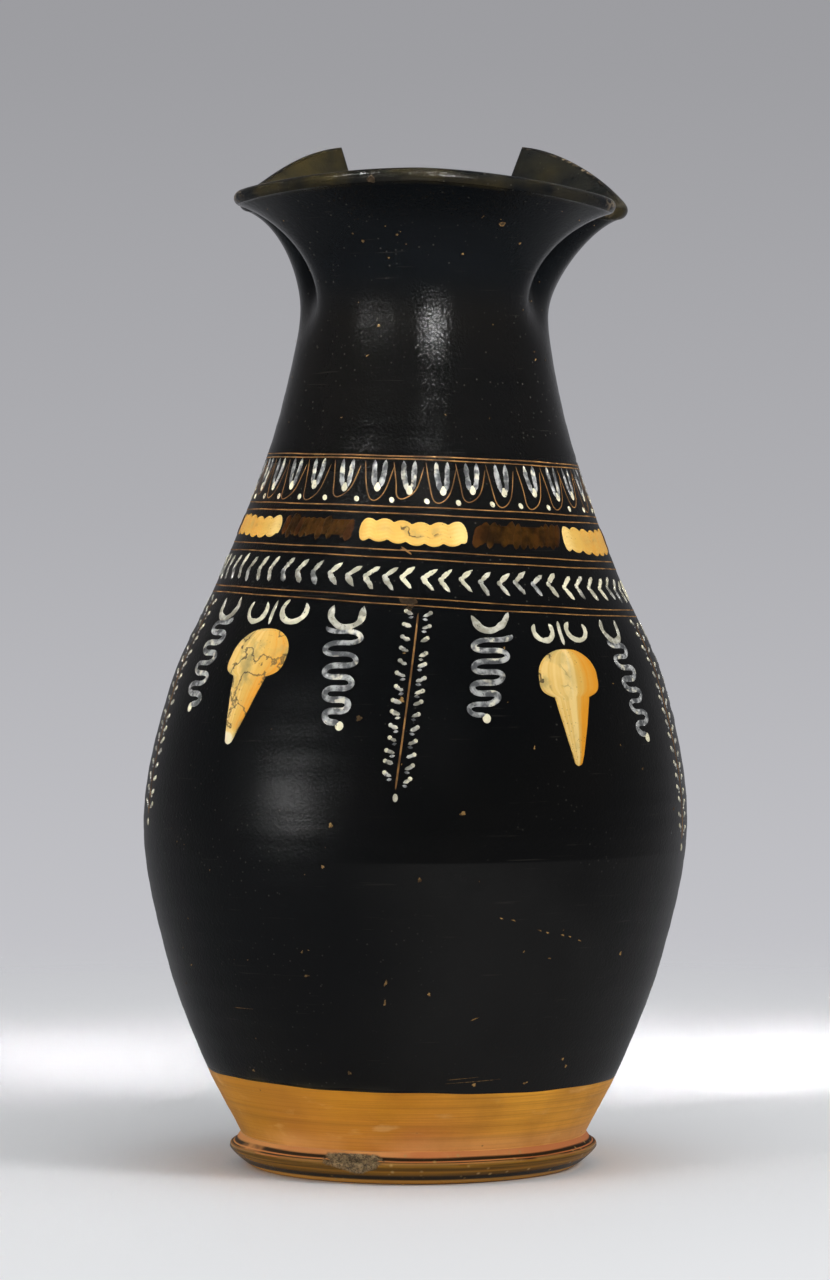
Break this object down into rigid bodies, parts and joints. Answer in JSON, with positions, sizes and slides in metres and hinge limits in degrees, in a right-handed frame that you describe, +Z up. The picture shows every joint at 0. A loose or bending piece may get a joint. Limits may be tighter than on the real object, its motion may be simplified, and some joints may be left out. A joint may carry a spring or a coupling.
{
  "type": "oinochoe",
  "caption": "Wine jug with a swelling body, tall neck, mouth pinched in at both sides, strap handle and ring foot, for pouring.",
  "frame": {"origin": "centre of the base on the surface that the foot rests on", "axes": "+Z up the jug, the spout looks along -Y and the handle stands at +Y"},
  "size_m": [0.1581, 0.1597, 0.3011],
  "materials": {
    "black_gloss": "glossy black slip, thin and olive brown at the edges",
    "foot_clay": "fired clay under thin brown slip, satin",
    "luting_clay": "bare fired orange clay, matt",
    "reserved_clay": "burnished bare orange clay with fine wheel marks, satin",
    "added_white": "raised white slip paint, matt and thin in places",
    "added_yellow": "raised yellow slip paint, matt, streaked",
    "added_brown": "red brown slip paint, matt",
    "incised_clay": "clay bared by incised lines, matt"
  },
  "bodies": {
    "root": {"foot": "foot_clay", "foot_luting": "luting_clay", "body": "black_gloss", "neck_luting": "luting_clay", "neck": "black_gloss", "handle_upper_luting": "luting_clay", "handle": "black_gloss", "handle_lower_luting": "luting_clay"}
  },
  "joints": []
}
